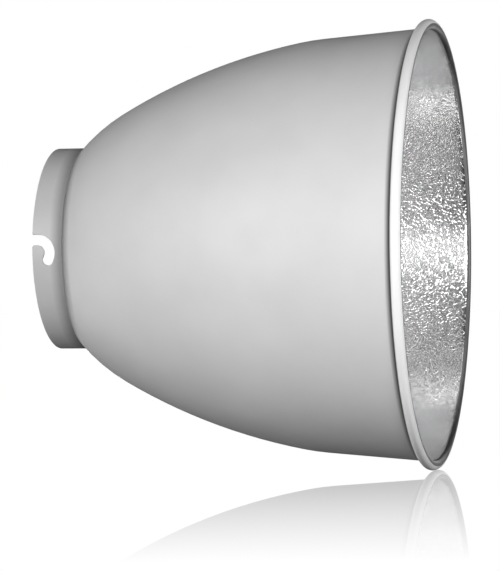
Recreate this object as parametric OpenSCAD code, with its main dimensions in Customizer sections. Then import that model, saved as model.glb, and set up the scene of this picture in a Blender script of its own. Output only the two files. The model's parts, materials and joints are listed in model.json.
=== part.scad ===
// Deep spun reflector with a three-slot bayonet collar, for a studio flash head.
// +X is the optical axis, towards the open rim. +Z is up.
// The origin is the centre of the collar's rear edge. Outlines are lists of [x, radius] and
// are turned about the optical axis.

/* [Rim] */
// Outside diameter over the rolled rim
rim_d = 260; // [256:0.5:264]
// Overall depth, from the collar's rear edge to the front of the rim
depth = 226.5; // [224:0.5:240]
// Section diameter of the rolled rim
bead_d = 6.2; // [5:0.1:8]
// How far the sheet is curled round the wire, in degrees
curl_wrap = 295; // [240:5:300]
// Gap between the curled sheet and the wire
wire_gap = 0.1; // [0.05:0.05:0.3]

/* [Bowl] */
// Thickness of the spun sheet
sheet = 1.2; // [0.8:0.1:1.5]
// Half-angle of the conical skirt behind the rim, in degrees
skirt_angle = 4.5; // [3:0.5:6]
// Length of the skirt
skirt_len = 60.5; // [50:0.5:65]
// Bending radius of the shoulder behind the skirt
shoulder_r = 140; // [120:5:160]
// Wall angle at the shoulder's rear end, in degrees
shoulder_angle = 10.5; // [9:0.5:12]
// Bending radius of the flank
flank_r = 340; // [320:5:350]
// Wall angle at the flank's rear end, in degrees
flank_angle = 29.5; // [28:0.5:31]
// Bending radius of the neck
neck_r = 105; // [90:5:110]
// Turn of the outline between two drawn points, in degrees
arc_step = 1.5; // [0.5:0.5:3]

/* [Collar] */
// Outside diameter of the collar
collar_d = 118.8; // [117:0.1:120]
// Wall thickness of the collar
collar_wall = 1.5; // [1.2:0.1:2]
// Width of the flange that seats inside the neck
flange_w = 7; // [6:0.5:8]
// Clearance between the collar and the bowl
seat_gap = 0.1; // [0.05:0.05:0.2]

/* [Bayonet slots] */
// Number of hooked slots
slot_count = 3; // [2:1:4]
// Width of a slot
slot_w = 6.2; // [5:0.1:7]
// Height of the slot's mouth above the collar's mid line
slot_rise = 5.2; // [4:0.1:6]
// Depth at which the slot starts to bend
slot_bend_x = 2.8; // [2:0.1:4]
// Bending radius of the slot's middle line
slot_bend_r = 7.4; // [6:0.1:8]
// Angle through which the slot bends, in degrees
slot_sweep = 112; // [90:1:120]
// Straight length of the slot's tail, up to the centre of its round end
slot_tail = 1.8; // [1:0.1:3]
// Rounding of the lower corner of the slot's mouth
mouth_r = 1.4; // [0.5:0.1:1.5]

/* [Rivets] */
// Number of rivets through the flange
rivet_count = 6; // [3:3:6]
// Shank diameter of a rivet
rivet_d = 3; // [2.5:0.1:3.5]
// Diameter of the flush head outside and of the low head inside
rivet_head_d = 5; // [4.5:0.1:5.4]
// Height of the low head inside
rivet_head_h = 1; // [0.8:0.1:1.5]

/* [Hidden] */
$fn = 180;

bead_r = bead_d / 2;
curl_r = bead_r - sheet;
bead_x = depth - bead_r;
bead_centre_r = rim_d / 2 - bead_r;
collar_r = collar_d / 2;
hole_r = collar_r + seat_gap;
overlap = 0.5;
curl_step = 15;
slot_step = 5;
rivet_clearance = 0.05;
head_gap = 0.06;

// A point on the outline is [x, radius]. along() and across() are the unit vectors that run
// forwards along a wall at an angle to the optical axis, and outwards from it.
function along(a) = [cos(a), sin(a)];
function across(a) = [-sin(a), cos(a)];

// The outer face of the bowl, worked backwards from the rim. Each stretch starts where the
// last one ended and is tangent to it. An arc's centre lies inside the bowl.
rim_point = [bead_x, bead_centre_r] - curl_r * across(skirt_angle);
skirt_point = rim_point - skirt_len * along(skirt_angle);
shoulder_c = skirt_point - shoulder_r * across(skirt_angle);
shoulder_point = shoulder_c + shoulder_r * across(shoulder_angle);
flank_c = shoulder_point - flank_r * across(shoulder_angle);
flank_point = flank_c + flank_r * across(flank_angle);
neck_c = flank_point - neck_r * across(flank_angle);

// Wall angle where the neck, on a face inset from the outer one, has radius r.
function neck_angle_at(r, inset) = acos((r - neck_c[1]) / (neck_r - inset));

// Points of an arc about c from angle a0 to angle a1, without its first one.
function arc(c, r, a0, a1) =
    let (n = ceil(abs(a1 - a0) / arc_step))
    [for (i = [1 : n]) c + r * across(a0 + (a1 - a0) * i / n)];

// One face of the bowl from the rim back to the rear hole, inset from the outer face.
function wall_face(inset) = concat(
    [rim_point - inset * across(skirt_angle), skirt_point - inset * across(skirt_angle)],
    arc(shoulder_c, shoulder_r - inset, skirt_angle, shoulder_angle),
    arc(flank_c, flank_r - inset, shoulder_angle, flank_angle),
    arc(neck_c, neck_r - inset, flank_angle, neck_angle_at(hole_r, inset)));

// The curl starts at the bowl's inner face and turns forwards, outwards and back.
function curl_point(r, turn) = [bead_x, bead_centre_r] - r * across(skirt_angle + turn);
function curl_face(r) = [for (t = [curl_step : curl_step : curl_wrap]) curl_point(r, t)];
function reversed(list) = [for (i = [len(list) - 1 : -1 : 0]) list[i]];

bowl_outline = concat(
    reversed(curl_face(curl_r)), wall_face(0),
    reversed(wall_face(sheet)), curl_face(bead_r));

// Turns an outline of [x, radius] points about the optical axis.
module spin(outline) {
    rotate([0, 90, 0])
        rotate_extrude()
            polygon([for (p = outline) [p[1], p[0]]]);
}

// Repeats its children round the optical axis. The first one faces -Y.
module around(count, first = 0) {
    for (i = [0 : count - 1])
        rotate([first + i * 360 / count, 0, 0])
            children();
}

// The collar's flange lies against the inside of the neck and follows its curve.
flange_inset = sheet + seat_gap;
flange_foot = neck_angle_at(collar_r, flange_inset);
flange_tip = flange_foot - flange_w / neck_r * 180 / PI;
flange_root = neck_angle_at(collar_r - collar_wall, flange_inset + collar_wall);

// The rivets sit half way along the flange, square to the neck.
rivet_angle = (flange_foot + flange_tip) / 2;
rivet_face = neck_c + neck_r * across(rivet_angle);
grip = flange_inset + collar_wall + head_gap;
dome_r = (pow(rivet_head_d / 2, 2) + pow(rivet_head_h, 2)) / (2 * rivet_head_h);

// Puts its children on a rivet's axis: their +Z points out of the bowl, z = 0 is its outer face.
module at_rivets() {
    around(rivet_count, 180 / rivet_count)
        translate([rivet_face[0], -rivet_face[1], 0])
            rotate([90, 0, 0])
                rotate([0, -rivet_angle, 0])
                    children();
}

// The shank and flush head of a rivet, or the hole for them with a clearance.
module rivet_shank(clearance) {
    translate([0, 0, -grip - overlap])
        cylinder(d = rivet_d + 2 * clearance, h = grip + overlap);
    translate([0, 0, -sheet])
        cylinder(d1 = rivet_d + 2 * clearance, d2 = rivet_head_d + 2 * clearance, h = sheet);
}

// The low domed head inside the flange.
module rivet_dome() {
    translate([0, 0, -grip])
        rotate([180, 0, 0])
            rotate_extrude()
                intersection() {
                    translate([0, rivet_head_h - dome_r])
                        circle(r = dome_r);
                    square([rivet_head_d, rivet_head_h + overlap]);
                }
}

// The middle line of a slot, flat: [x, height, heading]. A heading of 0 runs forwards,
// and 90 runs down the collar.
slot_turns = ceil(slot_sweep / slot_step);
slot_end_x = slot_bend_x + slot_bend_r * sin(slot_sweep) + slot_tail * cos(slot_sweep);
slot_end_z = slot_rise - slot_bend_r + slot_bend_r * cos(slot_sweep) - slot_tail * sin(slot_sweep);
slot_line = concat(
    [[-overlap, slot_rise, 0]],
    [for (i = [0 : slot_turns])
        let (a = slot_sweep * i / slot_turns)
        [slot_bend_x + slot_bend_r * sin(a), slot_rise - slot_bend_r * (1 - cos(a)), a]],
    [[slot_end_x, slot_end_z, slot_sweep]]);
function slot_side(side) = [for (s = slot_line)
    [s[0], s[1]] + side * slot_w / 2 * [sin(s[2]), cos(s[2])]];

// Flat shape of a slot, with x forwards and y up the collar.
module slot_shape() {
    polygon(concat(slot_side(1), reversed(slot_side(-1))));
    translate([slot_end_x, slot_end_z])
        circle(d = slot_w, $fn = 48);
    // the eased lower corner of the mouth
    translate([0, slot_rise - slot_w / 2])
        difference() {
            translate([-overlap, -mouth_r])
                square([mouth_r + overlap, mouth_r + overlap]);
            translate([mouth_r, -mouth_r])
                circle(r = mouth_r, $fn = 48);
        }
}

// A prism through the near wall of the collar, looking along the slot from outside.
module slot_cutter() {
    translate([0, -collar_r + 3 * collar_wall, 0])
        rotate([90, 0, 0])
            linear_extrude(6 * collar_wall)
                slot_shape();
}

// Spun shell: curled rim, skirt, flank and the neck with its rear hole.
module bowl() {
    color("lightgray")
        difference() {
            spin(bowl_outline);
            at_rivets() rivet_shank(rivet_clearance);
        }
}

// Stiffening wire inside the curled rim.
module rim_wire() {
    color("slategray")
        translate([bead_x, 0, 0])
            rotate([0, 90, 0])
                rotate_extrude()
                    translate([bead_centre_r, 0])
                        circle(r = curl_r - wire_gap, $fn = 48);
}

// The faces of the flange, and the tube behind it.
flange_r = neck_r - flange_inset;
collar_outline = concat(
    [[0, collar_r - collar_wall], [0, collar_r], neck_c + flange_r * across(flange_foot)],
    arc(neck_c, flange_r, flange_foot, flange_tip),
    [neck_c + (flange_r - collar_wall) * across(flange_tip)],
    arc(neck_c, flange_r - collar_wall, flange_tip, flange_root));

// Tube with the bayonet slots, and a flange that seats inside the bowl's neck.
module mount_collar() {
    color("silver")
        difference() {
            spin(collar_outline);
            around(slot_count) slot_cutter();
            at_rivets() rivet_shank(rivet_clearance);
        }
}

// Flush rivets that hold the collar's flange against the neck.
module collar_rivets() {
    color("gainsboro")
        at_rivets() {
            rivet_shank(0);
            rivet_dome();
        }
}

bowl();
rim_wire();
mount_collar();
collar_rivets();
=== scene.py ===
"""Looks for a deep spun reflector: satin grey paint outside, embossed silver inside."""
import json
import math

import bmesh
import bpy
import numpy as np
from mathutils import Matrix, Vector, noise
from mathutils.geometry import delaunay_2d_cdt


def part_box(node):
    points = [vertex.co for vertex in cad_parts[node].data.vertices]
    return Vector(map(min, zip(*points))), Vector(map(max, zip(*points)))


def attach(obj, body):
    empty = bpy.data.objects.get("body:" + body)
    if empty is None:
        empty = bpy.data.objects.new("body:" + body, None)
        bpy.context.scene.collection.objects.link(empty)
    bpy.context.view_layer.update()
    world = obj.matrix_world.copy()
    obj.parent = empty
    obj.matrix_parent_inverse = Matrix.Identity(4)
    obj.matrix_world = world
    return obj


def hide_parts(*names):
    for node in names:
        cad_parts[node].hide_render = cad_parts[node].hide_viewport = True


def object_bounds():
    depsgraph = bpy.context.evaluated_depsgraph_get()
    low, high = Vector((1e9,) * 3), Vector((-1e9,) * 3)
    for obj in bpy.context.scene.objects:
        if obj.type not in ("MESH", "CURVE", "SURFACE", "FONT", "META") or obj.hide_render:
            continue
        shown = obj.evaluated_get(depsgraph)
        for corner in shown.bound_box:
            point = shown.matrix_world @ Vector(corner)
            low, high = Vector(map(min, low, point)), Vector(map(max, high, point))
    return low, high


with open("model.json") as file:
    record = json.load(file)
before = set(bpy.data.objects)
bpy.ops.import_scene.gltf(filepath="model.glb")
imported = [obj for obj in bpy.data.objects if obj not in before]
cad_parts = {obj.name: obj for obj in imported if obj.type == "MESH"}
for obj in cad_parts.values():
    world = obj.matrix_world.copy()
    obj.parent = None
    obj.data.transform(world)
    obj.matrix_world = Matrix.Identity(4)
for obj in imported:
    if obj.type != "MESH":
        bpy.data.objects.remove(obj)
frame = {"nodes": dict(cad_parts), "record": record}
CAD_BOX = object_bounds()

MM = 0.001
BODY = "root"
MOUNTS = {m["name"]: m for m in frame["record"]["mounts"]}

# Sizes in millimetres. The ones the frame knows come from it.
RIM_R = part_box("bowl")[1].y / MM
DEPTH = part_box("bowl")[1].x / MM
BORE_R = MOUNTS["head_socket"]["dims"]["r_mm"]
COLLAR_WALL = 1.5
COLLAR_R = BORE_R + COLLAR_WALL
SHEET = 1.2
BEAD_R = 3.1
CURL_WRAP = 295
SKIRT_ANGLE, SKIRT_LEN = 4.5, 60.5
SHOULDER_R, SHOULDER_ANGLE = 140, 10.5
FLANK_R, FLANK_ANGLE = 340, 29.5
NECK_R = 105
SEAT_GAP = 0.1
FLANGE_W = 7

# Mesh fineness, in millimetres along the outline, and in stations round the axis.
RELIEF_STEP = 1.8
SMOOTH_STEP = 9
CURL_STEPS = 24
BOWL_STATIONS = 450
COLLAR_STATIONS = 360

# Bands of the curled sheet, each up to a turn of the curl in degrees. The second band is silver
# darkened as painted shade, the third a dark grey line of painted shade, and the last a paint
# lighter than the bowl's, as painted light.
CURL_BANDS = [(12, "embossed"), (60, "painted_shade"), (98, "edge"), (math.inf, "rim")]

# Relief of the inside that the mesh carries, in millimetres: size of a pebble, height of the
# relief, and the length over which it fades out.
PEBBLE = 3.4
RELIEF = 0.03
RELIEF_FADE = 2.0
# Shares of the pebbles and of the ridges in that relief.
SWELL_SHARE = 0.55
RIDGE_SHARE = 0.45
# How steep and how closely spaced the ridges are, and where in the noise they are taken from.
RIDGE_SLOPE = 3.2
RIDGE_PITCH = 0.83
RIDGE_PLACE = Vector((7.3, 1.9, 4.1))


# ---------------------------------------------------------------- outline

def along(angle):
    """Unit vector [x, radius] that runs forwards along a wall at an angle to the axis."""
    a = math.radians(angle)
    return np.array([math.cos(a), math.sin(a)])


def across(angle):
    """Unit vector that points outwards, square to that wall."""
    a = math.radians(angle)
    return np.array([-math.sin(a), math.cos(a)])


def line(start, end, step):
    """Points from start to end, both included, no further apart than step."""
    n = max(1, math.ceil(np.linalg.norm(end - start) / step))
    return [start + (end - start) * i / n for i in range(n + 1)]


def arc(centre, r, a0, a1, step):
    """Points of an arc of the outline between two wall angles, without its first one."""
    n = max(1, math.ceil(abs(math.radians(a1 - a0)) * r / step))
    return [centre + r * across(a0 + (a1 - a0) * i / n) for i in range(1, n + 1)]


BEAD = np.array([DEPTH - BEAD_R, RIM_R - BEAD_R])
RIM_POINT = BEAD - (BEAD_R - SHEET) * across(SKIRT_ANGLE)
SKIRT_POINT = RIM_POINT - SKIRT_LEN * along(SKIRT_ANGLE)
SHOULDER_C = SKIRT_POINT - SHOULDER_R * across(SKIRT_ANGLE)
FLANK_C = SHOULDER_C + (SHOULDER_R - FLANK_R) * across(SHOULDER_ANGLE)
NECK_C = FLANK_C + (FLANK_R - NECK_R) * across(FLANK_ANGLE)


def neck_angle_at(r, inset):
    """Wall angle where the neck, on a face inset from the outer one, has radius r."""
    return math.degrees(math.acos((r - NECK_C[1]) / (NECK_R - inset)))


def wall_face(inset, step):
    """One face of the bowl, from the rim back to the rear hole."""
    points = line(RIM_POINT - inset * across(SKIRT_ANGLE),
                  SKIRT_POINT - inset * across(SKIRT_ANGLE), step)
    points += arc(SHOULDER_C, SHOULDER_R - inset, SKIRT_ANGLE, SHOULDER_ANGLE, step)
    points += arc(FLANK_C, FLANK_R - inset, SHOULDER_ANGLE, FLANK_ANGLE, step)
    hole = neck_angle_at(COLLAR_R + SEAT_GAP, inset)
    return points + arc(NECK_C, NECK_R - inset, FLANK_ANGLE, hole, step)


def curl_face(r):
    """One face of the curled rim, from the bowl's wall to its free edge."""
    turns = [CURL_WRAP * i / CURL_STEPS for i in range(1, CURL_STEPS + 1)]
    return [BEAD - r * across(SKIRT_ANGLE + t) for t in turns]


# ---------------------------------------------------------------- meshes

def revolve(bm, outline, stations, closed):
    """Turns an outline of [x, radius] points (mm) about the X axis. Returns vertex rows and faces."""
    rows = []
    for x, r in outline:
        ring = []
        for i in range(stations):
            a = 2 * math.pi * i / stations
            ring.append(bm.verts.new((x * MM, -r * MM * math.cos(a), r * MM * math.sin(a))))
        rows.append(ring)
    faces = []
    last = len(rows) if closed else len(rows) - 1
    for k in range(last):
        upper, lower = rows[k], rows[(k + 1) % len(rows)]
        for i in range(stations):
            j = (i + 1) % stations
            faces.append(bm.faces.new((upper[i], upper[j], lower[j], lower[i])))
    return rows, faces


def finish_mesh(bm, name, materials):
    """Makes a smooth-shaded object that rides on the body."""
    bmesh.ops.recalc_face_normals(bm, faces=bm.faces)
    mesh = bpy.data.meshes.new(name)
    bm.to_mesh(mesh)
    bm.free()
    for m in materials:
        mesh.materials.append(m)
    mesh.polygons.foreach_set("use_smooth", [True] * len(mesh.polygons))
    obj = bpy.data.objects.new(name, mesh)
    bpy.context.scene.collection.objects.link(obj)
    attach(obj, BODY)
    return obj


def pebble_height(p):
    """Height of the relief at a point: rounded pebbles with worm-like ridges between."""
    q = p / (PEBBLE * MM)
    swell = noise.noise(q)
    ridge = 1 - RIDGE_SLOPE * abs(noise.noise(q * RIDGE_PITCH + RIDGE_PLACE))
    return SWELL_SHARE * swell + RIDGE_SHARE * ridge


def make_bowl(materials):
    """The spun shell: curled rim, smooth painted outside and embossed silver inside.

    Materials are given by the names paint, embossed, dulled, edge and rim.
    """
    outer = wall_face(0, SMOOTH_STEP)
    inner = wall_face(SHEET, RELIEF_STEP)[::-1]
    curl_in = curl_face(BEAD_R - SHEET)[::-1]
    curl_out = curl_face(BEAD_R)
    outline = curl_in + outer + inner + curl_out
    bm = bmesh.new()
    rows, faces = revolve(bm, outline, BOWL_STATIONS, closed=True)

    slots = list(materials)
    first_inner = len(curl_in) + len(outer)
    first_curl = first_inner + len(inner)
    for face_index, face in enumerate(faces):
        row = face_index // BOWL_STATIONS
        finish = "paint"
        if first_inner - 1 <= row < first_curl - 1:
            finish = "embossed"
        elif row >= first_curl - 1:
            turn = (row - first_curl + 1) * CURL_WRAP / CURL_STEPS
            finish = next(band for end, band in CURL_BANDS if turn < end)
        face.material_index = slots.index(finish)

    # Relief on the inside, fading out at the rim and under the collar's flange.
    span = np.cumsum([0] + [np.linalg.norm(b - a) for a, b in zip(inner, inner[1:])])
    for k, s in enumerate(span):
        fade = min(1, (span[-1] - s) / RELIEF_FADE, max(0, s - FLANGE_W) / RELIEF_FADE)
        if fade <= 0:
            continue
        for v in rows[first_inner + k]:
            outwards = Vector((0, v.co.y, v.co.z)).normalized()
            v.co += outwards * (pebble_height(v.co) * fade * RELIEF * MM)
    bowl = finish_mesh(bm, "bowl_shell", materials.values())
    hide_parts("bowl")
    return bowl


# ---------------------------------------------------------------- collar

# The hooked slot, in millimetres and degrees: width, height of its mouth, where its middle line
# starts to bend, radius and angle of the bend, straight tail and rounding of the mouth.
SLOT_W = 6.2
SLOT_RISE = 5.2
SLOT_BEND_X = 2.8
SLOT_BEND_R = 7.4
SLOT_SWEEP = 112
SLOT_TAIL = 1.8
MOUTH_R = 1.4
SLOTS = sum(name.startswith("bayonet_slot") for name in MOUNTS)

# Fineness of the collar's mesh: columns along the tube, points on the bend, and the turn in
# degrees between two points of the slot's end and of the mouth's rounded corner.
COLLAR_COLUMNS = 13
SLOT_TURNS = 23
END_TURN = 10
CORNER_TURN = 15
# Least distance in millimetres from the slot to other points inside the sheet, and on its edge.
CLEAR = 0.7
EDGE_CLEAR = 0.3
# The triangulation's output type that keeps the triangles inside the edge loop.
INSIDE_ONLY = 1
# Points closer than these are one point, in millimetres.
FLAT_MERGE = 1e-4
TUBE_MERGE = 0.02
# Shortest squared length that a division by it is safe with.
TINY = 1e-12
# Rounding of the sharp edges: width in millimetres, least angle in degrees, and segments. The
# weight makes the broad faces lead the shading.
COLLAR_EDGE = 0.22
EDGE_ANGLE = 35
EDGE_SEGMENTS = 3
FACE_WEIGHT = 80


def slot_path():
    """Middle line of a slot on the unrolled collar: (point, heading in degrees)."""
    path = [(np.array([MOUTH_R, SLOT_RISE]), 0)]
    for a in np.linspace(0, SLOT_SWEEP, SLOT_TURNS + 1):
        t = math.radians(a)
        bend = np.array([math.sin(t), math.cos(t) - 1])
        path.append((np.array([SLOT_BEND_X, SLOT_RISE]) + SLOT_BEND_R * bend, a))
    point, a = path[-1]
    path.append((point + SLOT_TAIL * heading(a), a))
    return path


def heading(a):
    """Direction [x, height] of a slot at a heading: 0 runs forwards, 90 runs down the collar."""
    return np.array([math.cos(math.radians(a)), -math.sin(math.radians(a))])


def uphill(a):
    """Direction square to the slot, on its upper side."""
    return np.array([math.sin(math.radians(a)), math.cos(math.radians(a))])


def slot_edge():
    """Edge of a slot, from the rear edge below its mouth, round its end, to the rear edge above."""
    half = SLOT_W / 2
    path = slot_path()
    lower = [p - half * uphill(a) for p, a in path]
    upper = [p + half * uphill(a) for p, a in path]
    tip, a = path[-1]
    end = []
    for turn in range(180 - END_TURN, 0, -END_TURN):
        u = math.radians(turn)
        end.append(tip + half * (heading(a) * math.sin(u) + uphill(a) * math.cos(u)))
    foot = np.array([MOUTH_R, SLOT_RISE - half - MOUTH_R])
    corner = [foot + MOUTH_R * uphill(c) for c in range(-90, 0, CORNER_TURN)]
    return corner + lower + end + upper[::-1] + [np.array([0, SLOT_RISE + half])]


def collar_sector(front):
    """The unrolled collar round one slot: its points, its triangles, and its rear edge with the slot."""
    half_turn = math.pi / SLOTS
    stations = COLLAR_STATIONS // SLOTS
    heights = [COLLAR_R * half_turn * (2 * i / stations - 1) for i in range(stations + 1)]
    edge = slot_edge()
    low, high = edge[0][1], edge[-1][1]
    columns = [front * i / COLLAR_COLUMNS for i in range(COLLAR_COLUMNS + 1)]
    loop = [np.array([0, h]) for h in heights if h < low - EDGE_CLEAR]
    loop += edge
    loop += [np.array([0, h]) for h in heights if h > high + EDGE_CLEAR]
    rear_edge = list(loop)
    loop += [np.array([x, heights[-1]]) for x in columns[1:]]
    loop += [np.array([front, h]) for h in heights[-2::-1]]
    loop += [np.array([x, heights[0]]) for x in columns[-2:0:-1]]

    # Points inside the sheet keep clear of the slot, so that no sliver triangles form.
    slot = np.array(edge)
    inside = []
    for x in columns[1:-1]:
        for h in heights[1:-1]:
            p = np.array([x, h])
            if nearest(p, slot) > CLEAR and not within(p, slot):
                inside.append(p)
    points = [Vector(p) for p in loop + inside]
    result = delaunay_2d_cdt(points, [], [list(range(len(loop)))], INSIDE_ONLY, FLAT_MERGE)
    return result[0], result[2], rear_edge


def nearest(p, chain):
    """Distance from a point to a chain of straight edges."""
    a, d = chain[:-1], chain[1:] - chain[:-1]
    t = np.clip(((p - a) * d).sum(1) / np.maximum((d * d).sum(1), TINY), 0, 1)
    return np.linalg.norm(a + d * t[:, None] - p, axis=1).min()


def within(p, ring):
    """True if a point is inside a closed ring of points."""
    a, b = ring, np.roll(ring, -1, axis=0)
    straddles = (a[:, 1] > p[1]) != (b[:, 1] > p[1])
    run = np.where(straddles, b[:, 1] - a[:, 1], 1)
    reach = a[:, 0] + (p[1] - a[:, 1]) * (b[:, 0] - a[:, 0]) / run
    return bool((straddles & (p[0] < reach)).sum() % 2)


def make_collar(material):
    """Tube with three hooked slots, and the flange that seats inside the neck."""
    inset = SHEET + SEAT_GAP
    seat_r = NECK_R - inset
    foot = neck_angle_at(COLLAR_R, inset)
    tip = foot - math.degrees(FLANGE_W / NECK_R)
    root = neck_angle_at(BORE_R, inset + COLLAR_WALL)
    front = (NECK_C + seat_r * across(foot))[0]

    bm = bmesh.new()
    points, triangles, rear_edge = collar_sector(front)
    for k in range(SLOTS):
        turn = 2 * math.pi * k / SLOTS

        def on_tube(p, r):
            """The vertex on the tube, at radius r, of a point on the unrolled collar."""
            a = p[1] / COLLAR_R - turn
            return bm.verts.new((p[0] * MM, -r * MM * math.cos(a), r * MM * math.sin(a)))

        for r in (COLLAR_R, BORE_R):
            skin = [on_tube(p, r) for p in points]
            for t in triangles:
                bm.faces.new([skin[i] for i in t])
        walls = [(on_tube(p, COLLAR_R), on_tube(p, BORE_R)) for p in rear_edge]
        for (a0, a1), (b0, b1) in zip(walls, walls[1:]):
            bm.faces.new((a0, a1, b1, b0))

    flange = [np.array([front, COLLAR_R])]
    flange += arc(NECK_C, seat_r, foot, tip, RELIEF_STEP)
    flange += [NECK_C + (seat_r - COLLAR_WALL) * across(tip)]
    flange += arc(NECK_C, seat_r - COLLAR_WALL, tip, root, RELIEF_STEP)
    flange += [np.array([front, BORE_R])]
    revolve(bm, flange, COLLAR_STATIONS, closed=False)
    bmesh.ops.remove_doubles(bm, verts=bm.verts, dist=TUBE_MERGE * MM)
    collar = finish_mesh(bm, "bayonet_collar", [material])
    soften_edges(collar, COLLAR_EDGE)
    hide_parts("mount_collar")
    return collar


def soften_edges(obj, width):
    """Rounds the sharp edges of a piece by a width in millimetres, and keeps its broad faces even."""
    bevel = obj.modifiers.new("edges", "BEVEL")
    bevel.width = width * MM
    bevel.segments = EDGE_SEGMENTS
    bevel.limit_method = "ANGLE"
    bevel.angle_limit = math.radians(EDGE_ANGLE)
    bevel.use_clamp_overlap = True
    normals = obj.modifiers.new("normals", "WEIGHTED_NORMAL")
    normals.keep_sharp = True
    normals.weight = FACE_WEIGHT


# ---------------------------------------------------------------- rivets

# Sizes in millimetres. The press mark is the dimple that the riveting tool leaves in the dome.
RIVETS = 6
RIVET_R = 1.5
RIVET_HEAD_R = 2.5
RIVET_HEAD_H = 1.0
PRESS_R = 0.7
PRESS_FLOOR_R = 0.56
PRESS_DEPTH = 0.25
RIVET_EDGE = 0.08
RIVET_STATIONS = 40
DOME_STEPS = 8


def make_rivets(material):
    """Rivets with low domed heads inside the flange. Their other ends lie under the paint."""
    inset = SHEET + SEAT_GAP
    foot = neck_angle_at(COLLAR_R, inset)
    middle = foot - math.degrees(FLANGE_W / NECK_R) / 2
    face = NECK_C + NECK_R * across(middle)
    grip = inset + COLLAR_WALL
    dome_r = (RIVET_HEAD_R ** 2 + RIVET_HEAD_H ** 2) / (2 * RIVET_HEAD_H)
    edge_turn = math.asin(RIVET_HEAD_R / dome_r)
    press_turn = math.asin(PRESS_R / dome_r)

    # The outline is [depth under the outer face, radius], from the flush end to the dome's top.
    outline = [(SHEET / 2, 0), (SHEET / 2, RIVET_R), (grip, RIVET_R), (grip, RIVET_HEAD_R)]
    for i in range(1, DOME_STEPS + 1):
        t = edge_turn + (press_turn - edge_turn) * i / DOME_STEPS
        outline.append((grip + RIVET_HEAD_H - dome_r * (1 - math.cos(t)), dome_r * math.sin(t)))
    press_floor = grip + RIVET_HEAD_H - PRESS_DEPTH
    outline += [(press_floor, PRESS_FLOOR_R), (press_floor, 0)]

    bm = bmesh.new()
    out = across(middle)
    for k in range(RIVETS):
        a = math.pi / RIVETS + 2 * math.pi * k / RIVETS
        radial = Vector((0, -math.cos(a), math.sin(a)))
        centre = Vector((face[0], 0, 0)) + radial * face[1]
        axis = Vector((out[0], 0, 0)) + radial * out[1]
        side = Vector((0, math.sin(a), math.cos(a)))
        other = axis.cross(side)
        rings = []
        for depth, r in outline:
            count = 1 if r == 0 else RIVET_STATIONS
            ring = []
            for i in range(count):
                t = 2 * math.pi * i / RIVET_STATIONS
                p = centre - axis * depth + (side * math.cos(t) + other * math.sin(t)) * r
                ring.append(bm.verts.new(p * MM))
            rings.append(ring)
        # Where a ring is a single point, two corners fall together and the face is a triangle.
        for upper, lower in zip(rings, rings[1:]):
            for i in range(RIVET_STATIONS):
                j = (i + 1) % RIVET_STATIONS
                corners = [upper[i % len(upper)], upper[j % len(upper)],
                           lower[j % len(lower)], lower[i % len(lower)]]
                bm.faces.new(list(dict.fromkeys(corners)))
    rivets = finish_mesh(bm, "flush_rivets", [material])
    soften_edges(rivets, RIVET_EDGE)
    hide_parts("collar_rivets")
    return rivets


# ---------------------------------------------------------------- materials

# Noise keeps mostly between these values, so they are the ends that remap() starts from.
NOISE_LOW, NOISE_HIGH = 0.3, 0.7
NOISE_MIDDLE = 0.5


def grey(value):
    """A neutral colour."""
    return (value, value, value)


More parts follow.
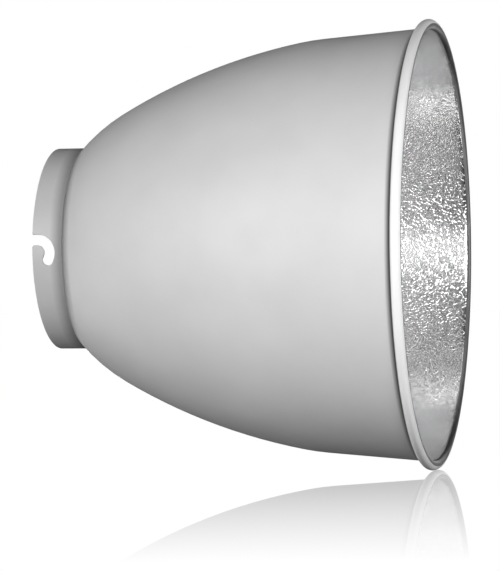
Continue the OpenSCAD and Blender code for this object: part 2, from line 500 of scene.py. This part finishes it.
class Shader:
    """A node material with a principled surface and object coordinates in metres."""

    def __init__(self, name, metallic):
        self.material = bpy.data.materials.new(name)
        self.material.use_nodes = True
        self.tree = self.material.node_tree
        self.surface = self.tree.nodes["Principled BSDF"]
        self.surface.inputs["Metallic"].default_value = metallic
        self.place = self.add("ShaderNodeTexCoord").outputs["Object"]

    def add(self, kind, **settings):
        """A new node of a kind, with its settings."""
        node = self.tree.nodes.new(kind)
        for key, value in settings.items():
            setattr(node, key, value)
        return node

    def feed(self, node, name, value):
        """Sets an input, by name or number, to a value, or links it to another node's output."""
        socket = node.inputs[name]
        if isinstance(value, bpy.types.NodeSocket):
            self.tree.links.new(value, socket)
        else:
            socket.default_value = value

    def noise(self, size, detail, place=None):
        """Noise whose features are size millimetres across, 0 to 1."""
        node = self.add("ShaderNodeTexNoise")
        self.feed(node, "Vector", place or self.place)
        self.feed(node, "Scale", 1 / (size * MM))
        self.feed(node, "Detail", detail)
        return node.outputs["Fac"]

    def stretched(self, x, y, z):
        """Object coordinates scaled per axis, for streaks or rings."""
        node = self.add("ShaderNodeVectorMath", operation="MULTIPLY")
        self.feed(node, 0, self.place)
        node.inputs[1].default_value = (x, y, z)
        return node.outputs[0]

    def math(self, operation, a, b=0.0):
        """The result of a maths operation on two numbers or other nodes' outputs."""
        node = self.add("ShaderNodeMath", operation=operation)
        self.feed(node, 0, a)
        self.feed(node, 1, b)
        return node.outputs[0]

    def remap(self, value, low, high, start=NOISE_LOW, stop=NOISE_HIGH):
        """Maps start..stop on to low..high, clamped."""
        node = self.add("ShaderNodeMapRange")
        self.feed(node, "Value", value)
        ends = {"From Min": start, "From Max": stop, "To Min": low, "To Max": high}
        for key, number in ends.items():
            self.feed(node, key, number)
        return node.outputs["Result"]

    def blend(self, value, first, second):
        """A colour between a first one, plain or another node's output, and a plain second one."""
        node = self.add("ShaderNodeMix", data_type="RGBA")
        self.feed(node, 0, value)
        slot_a, slot_b = (i for i in node.inputs if i.type == "RGBA")
        if isinstance(first, bpy.types.NodeSocket):
            self.tree.links.new(first, slot_a)
        else:
            slot_a.default_value = (*first, 1)
        slot_b.default_value = (*second, 1)
        return next(o for o in node.outputs if o.type == "RGBA")

    def mottle(self, size, dark, light):
        """A colour that varies between two plain ones in patches of a size in millimetres."""
        return self.blend(self.remap(self.noise(size, detail=3), 0, 1), dark, light)

    def axis(self, name):
        """One object coordinate, in metres."""
        node = self.add("ShaderNodeSeparateXYZ")
        self.feed(node, 0, self.place)
        return node.outputs[name]

    def bump(self, height, depth):
        """Adds relief of a depth in millimetres on top of any earlier relief."""
        node = self.add("ShaderNodeBump")
        earlier = self.surface.inputs["Normal"].links
        if earlier:
            self.feed(node, "Normal", earlier[0].from_socket)
        self.feed(node, "Height", height)
        self.feed(node, "Distance", depth * MM)
        self.feed(node, "Strength", 1.0)
        self.feed(self.surface, "Normal", node.outputs["Normal"])

    def set(self, name, value):
        """Sets an input of the principled surface."""
        self.feed(self.surface, name, value)


# Satin powder coat. Sizes and depths here and below are in millimetres.
PAINT_SHEEN = 0.45
PAINT_VARIATION = 0.03
PAINT_PATCH = 38
PAINT_SMOOTH, PAINT_DULL = 0.40, 0.50
SHEEN_PATCH = 14
ORANGE_PEEL_SIZE, ORANGE_PEEL_DEPTH = 0.9, 0.012
SPINNING_RING_PITCH, SPINNING_RING_DEPTH = 2.2, 0.01
ROUND_STRETCH = 0.02


def grey_paint(name, shade, shade_bands=(), sheen=PAINT_SHEEN):
    """Satin powder coat: faint orange peel, faint spinning rings and uneven sheen.

    A band of painted shade is (from, to, soft, firm, shade): a ring of the surface between two X
    positions, in millimetres, painted darker and with less sheen where shade falls. It fades in
    over the length called soft, and out over the one called firm.
    """
    s = Shader(name, metallic=0.0)
    variation = shade * PAINT_VARIATION
    color = s.mottle(PAINT_PATCH, grey(shade - variation), grey(shade + variation))
    # Each band is painted shade: the colour is blended towards a dark grey and the sheen lowered.
    for start, stop, soft, firm, shade_band_grey in shade_bands:
        x = s.axis("X")
        enter = s.remap(x, 0, 1, (start - soft) * MM, start * MM)
        leave = s.remap(x, 1, 0, stop * MM, (stop + firm) * MM)
        depth = s.math("MULTIPLY", enter, leave)
        color = s.blend(depth, color, grey(shade_band_grey))
        sheen = s.math("MULTIPLY", sheen, s.math("SUBTRACT", 1.0, depth))
    s.set("Base Color", color)
    s.set("Roughness", s.remap(s.noise(SHEEN_PATCH, detail=4), PAINT_SMOOTH, PAINT_DULL))
    s.set("Specular IOR Level", sheen)
    s.bump(s.noise(ORANGE_PEEL_SIZE, detail=3), ORANGE_PEEL_DEPTH)
    rings = s.stretched(1, ROUND_STRETCH, ROUND_STRETCH)
    s.bump(s.noise(SPINNING_RING_PITCH, detail=1, place=rings), SPINNING_RING_DEPTH)
    return s.material


# The embossing: spacing, width (as a share of the noise's range) and height of its thin ridges,
# and the size and height of the fine grain on them.
WORM_SIZE, WORM_WIDTH, WORM_HEIGHT = 2.9, 0.05, 0.085
GRAIN_SIZE, GRAIN_HEIGHT = 1.4, 0.011


def emboss(s):
    """Stucco relief: a smooth ground, with thin ridges where the noise is near its middle."""
    off = s.math("ABSOLUTE", s.math("SUBTRACT", s.noise(WORM_SIZE, detail=1.0), NOISE_MIDDLE))
    s.bump(s.remap(off, 1, 0, start=0.0, stop=WORM_WIDTH), WORM_HEIGHT)
    s.bump(s.noise(GRAIN_SIZE, detail=2), GRAIN_HEIGHT)


def metal(name, patch, dark, light, sheen_patch, smooth, dull, detail=3):
    """Bare metal. Its colour varies in patches, and its roughness in sheen patches."""
    s = Shader(name, metallic=1.0)
    s.set("Base Color", s.mottle(patch, dark, light))
    s.set("Roughness", s.remap(s.noise(sheen_patch, detail), smooth, dull))
    return s


def embossed_silver():
    """Bright embossed sheet."""
    s = metal("embossed_silver", patch=22, dark=(0.86, 0.86, 0.865), light=grey(0.93),
              sheen_patch=5, smooth=0.17, dull=0.24)
    emboss(s)
    return s.material


def painted_shade_silver():
    """The start of the curl: the same embossed sheet, its silver darkened as painted shade."""
    s = metal("painted_shade_silver", patch=30, dark=grey(0.11), light=grey(0.15),
              sheen_patch=9, smooth=0.34, dull=0.42, detail=4)
    emboss(s)
    return s.material


def rivet_metal():
    """Plain aluminium with a fine grain."""
    s = metal("rivet_metal", patch=2.5, dark=(0.72, 0.72, 0.73), light=grey(0.85),
              sheen_patch=0.8, smooth=0.25, dull=0.45)
    s.bump(s.noise(0.25, detail=2), depth=0.01)
    return s.material


def wire_steel():
    """Drawn steel wire."""
    s = metal("wire_steel", patch=6, dark=(0.4, 0.4, 0.41), light=(0.55, 0.55, 0.56),
              sheen_patch=2, smooth=0.3, dull=0.5)
    s.bump(s.noise(0.4, detail=2), depth=0.006)
    return s.material


# ---------------------------------------------------------------- stage, light and camera

WHITE = (1, 1, 1, 1)
CENTRE = (CAD_BOX[0] + CAD_BOX[1]) / 2

# The floor, in metres: half its width, its distance under the object, and the height up to which
# the mirror image shows. The last value is the image's strength at the floor.
FLOOR_SIZE = 4.0
FLOOR_GAP = 0.0002
FLOOR_FADE = 0.054
FLOOR_MIRROR = 0.56

# Brightness of the surround as the camera sees it, and as the object is lit by it.
BACKGROUND = 1.0
AMBIENT = 0.03

# Soft boxes: name, azimuth and elevation in degrees, distance and size in metres, power in watts.
SOFT_BOXES = [
    ("key", -30, 10, 1.6, 1.0, 16.0),
    ("fill", 30, 5, 0.8, 0.4, 3.4),
    ("front", 95, 0, 1.2, 0.5, 4.5),
    ("front top", 88, 44, 1.3, 1.1, 5.0),
    ("front low", 84, -44, 1.3, 1.15, 7.8),
    ("top", 0, 80, 1.4, 1.0, 1.1),
    ("low", -45, -38, 1.5, 0.8, 1.7),
    ("rear", -100, -16, 1.4, 0.8, 3.4),
    ("backdrop", 170, 0, 1.5, 0.5, 1.3),
    ("back", 193, 0, 1.5, 0.8, 12),
]
# Boxes that only show as reflections in the silver inside, and are flagged off the paint.
REFLECTED_ONLY = ("front top", "front low")
# Boxes that light the paint, and don't show as reflections.
NOT_REFLECTED = ("back",)

# The camera stands level with the optical axis, a little in front of the object's side. Angles
# are in degrees, the lens in millimetres and the rest in metres.
CAMERA_AZIMUTH = 13.0
CAMERA_DISTANCE = 1.6856
CAMERA_PIVOT = Vector((0.112, 0, 0))
CAMERA_AIM = Vector((0.11458, 0, -0.0227))
CAMERA_ROLL = -0.58
CAMERA_LENS = 181.3
CAMERA_NEAR, CAMERA_FAR = 0.05, 50


def blank_tree(owner):
    """The emptied node tree of a material or a world."""
    owner.use_nodes = True
    owner.node_tree.nodes.clear()
    return owner.node_tree


def mixed(tree, value, first, second):
    """A shader between two others, by value 0 to 1. All three are other nodes' outputs."""
    node = tree.nodes.new("ShaderNodeMixShader")
    for socket, source in zip(node.inputs, (value, first, second)):
        tree.links.new(source, socket)
    return node.outputs[0]


def floor_material():
    """White that mirrors the foot of the object faintly. The mirror image fades with height."""
    material = bpy.data.materials.new("floor")
    tree = blank_tree(material)
    add, link = tree.nodes.new, tree.links.new
    vector, scalar = "ShaderNodeVectorMath", "ShaderNodeMath"

    def joined(kind, operation, a, b):
        """A maths node of either kind. Each input is another node's output or a plain value."""
        node = add(kind)
        node.operation = operation
        for socket, value in zip(node.inputs, (a, b)):
            if isinstance(value, bpy.types.NodeSocket):
                link(value, socket)
            else:
                socket.default_value = value
        single = kind == scalar or operation == "DOT_PRODUCT"
        return node.outputs["Value" if single else "Vector"]

    geometry = add("ShaderNodeNewGeometry")
    towards = geometry.outputs["Incoming"]
    split = add("ShaderNodeSeparateXYZ")
    link(towards, split.inputs[0])

    # Height of the mirrored point, for an upright plane through the object's middle that faces
    # the viewer.
    flat = joined(vector, "MULTIPLY", towards, (1, 1, 0))
    offset = joined(vector, "SUBTRACT", geometry.outputs["Position"], CENTRE)
    run = joined(scalar, "DIVIDE", joined(vector, "DOT_PRODUCT", offset, flat),
                 joined(vector, "DOT_PRODUCT", flat, flat))
    fade = add("ShaderNodeMapRange")
    link(joined(scalar, "MULTIPLY", run, split.outputs["Z"]), fade.inputs["Value"])
    for key, value in (("From Max", FLOOR_FADE), ("To Min", FLOOR_MIRROR), ("To Max", 0.0)):
        fade.inputs[key].default_value = value

    # The mirror passes the camera's ray on upwards, so that it meets the same white surround.
    mirror = add("ShaderNodeBsdfRayPortal")
    link(joined(vector, "MULTIPLY", towards, (-1, -1, 1)), mirror.inputs["Direction"])
    white = add("ShaderNodeEmission")
    white.inputs["Color"].default_value = WHITE
    faint = mixed(tree, fade.outputs["Result"], white.outputs[0], mirror.outputs[0])

    # Only the camera sees the floor, and only from above.
    above = joined(scalar, "SUBTRACT", add("ShaderNodeLightPath").outputs["Is Camera Ray"],
                   geometry.outputs["Backfacing"])
    seen = mixed(tree, above, add("ShaderNodeBsdfTransparent").outputs[0], faint)
    link(seen, add("ShaderNodeOutputMaterial").inputs["Surface"])
    return material


def make_floor():
    """A wide floor just under the object."""
    bm = bmesh.new()
    bmesh.ops.create_grid(bm, x_segments=1, y_segments=1, size=FLOOR_SIZE)
    mesh = bpy.data.meshes.new("floor")
    bm.to_mesh(mesh)
    bm.free()
    mesh.materials.append(floor_material())
    floor = bpy.data.objects.new("floor", mesh)
    floor.location = (0, 0, CAD_BOX[0].z - FLOOR_GAP)
    bpy.context.scene.collection.objects.link(floor)


def make_world():
    """White where the camera looks past the object, a dim room for everything else."""
    world = bpy.data.worlds.new("studio")
    bpy.context.scene.world = world
    tree = blank_tree(world)

    def background(strength):
        """Plain white light of a strength."""
        node = tree.nodes.new("ShaderNodeBackground")
        node.inputs["Color"].default_value = WHITE
        node.inputs["Strength"].default_value = strength
        return node.outputs[0]

    camera_ray = tree.nodes.new("ShaderNodeLightPath").outputs["Is Camera Ray"]
    out = tree.nodes.new("ShaderNodeOutputWorld")
    surface = mixed(tree, camera_ray, background(AMBIENT), background(BACKGROUND))
    tree.links.new(surface, out.inputs["Surface"])


def direction(azimuth, elevation):
    """Unit vector from the object towards an azimuth (0 is -Y, 90 is +X) and an elevation."""
    a, e = math.radians(azimuth), math.radians(elevation)
    return Vector((math.sin(a) * math.cos(e), -math.cos(a) * math.cos(e), math.sin(e)))


def make_lights():
    """The square soft boxes, all turned towards the object's centre."""
    for name, azimuth, elevation, distance, size, power in SOFT_BOXES:
        light = bpy.data.lights.new(name, "AREA")
        light.shape = "SQUARE"
        light.size = size
        light.energy = power
        lamp = bpy.data.objects.new(name, light)
        towards = direction(azimuth, elevation)
        lamp.location = CENTRE + towards * distance
        lamp.rotation_mode = "QUATERNION"
        lamp.rotation_quaternion = (-towards).to_track_quat("-Z", "Y")
        lamp.visible_glossy = name not in NOT_REFLECTED
        lamp.visible_diffuse = name not in REFLECTED_ONLY
        bpy.context.scene.collection.objects.link(lamp)


def make_camera():
    """The camera, turned to its aim point and then rolled about its line of sight."""
    data = bpy.data.cameras.new("camera")
    data.lens = CAMERA_LENS
    data.clip_start = CAMERA_NEAR
    data.clip_end = CAMERA_FAR
    camera = bpy.data.objects.new("camera", data)
    place = CAMERA_PIVOT + direction(CAMERA_AZIMUTH, 0) * CAMERA_DISTANCE
    look = (CAMERA_AIM - place).normalized()
    right = look.cross(Vector((0, 0, 1))).normalized()
    up = right.cross(look)
    roll = math.radians(CAMERA_ROLL)
    rolled_right = right * math.cos(roll) + up * math.sin(roll)
    rolled_up = up * math.cos(roll) - right * math.sin(roll)
    turn = Matrix((rolled_right, rolled_up, -look)).transposed()
    camera.matrix_world = Matrix.Translation(place) @ turn.to_4x4()
    bpy.context.scene.collection.objects.link(camera)
    bpy.context.scene.camera = camera


# ---------------------------------------------------------------- the scene

# Painted shade, as dark bands of grey_paint(): the shadow behind the rolled rim, and the shade on
# the collar where it meets the neck.
RIM_SHADOW_BAND = (BEAD[0] - 4.0, BEAD[0] - 2.8, 2.6, 0.6, 0.11)
COLLAR_SHADE_BAND = (16.0, 20.0, 6.0, 6.0, 0.28)

# Greys of the paint on the bowl, on its rim, at the paint's edge and on the collar. The rim's grey
# is lighter than the bowl's as painted light, and the grey at the paint's edge, dark and with almost
# no sheen, is painted shade. The collar's grey is darker than the bowl's.
BOWL_GREY = 0.62
RIM_LIT_GREY = 0.86
EDGE_SHADE_GREY, EDGE_SHADE_SHEEN = 0.16, 0.02
COLLAR_GREY = 0.5

make_bowl({
    # The bowl's paint and the rim's paint carry the painted shadow behind the rolled rim.
    "paint": grey_paint("grey_paint", BOWL_GREY, [RIM_SHADOW_BAND]),
    # Painted light: the rolled rim's paint is a lighter grey than the bowl's.
    "rim": grey_paint("rim_paint_lit", RIM_LIT_GREY, [RIM_SHADOW_BAND]),
    # Painted shade: a dark grey band with almost no sheen at the front of the curl, which outlines the
    # far side of the rim.
    "edge": grey_paint("edge_paint_shade", EDGE_SHADE_GREY, sheen=EDGE_SHADE_SHEEN),
    "embossed": embossed_silver(),
    # Painted shade: the start of the curl is silver darkened to a dark grey.
    "painted_shade": painted_shade_silver(),
})
# The collar's paint carries painted shade where it meets the neck.
make_collar(grey_paint("collar_paint", COLLAR_GREY, [COLLAR_SHADE_BAND]))
make_rivets(rivet_metal())
wire = frame["nodes"]["rim_wire"]
wire.data.materials.clear()
wire.data.materials.append(wire_steel())

make_floor()
make_world()
make_lights()
make_camera()
bpy.context.scene.view_settings.view_transform = "Standard"
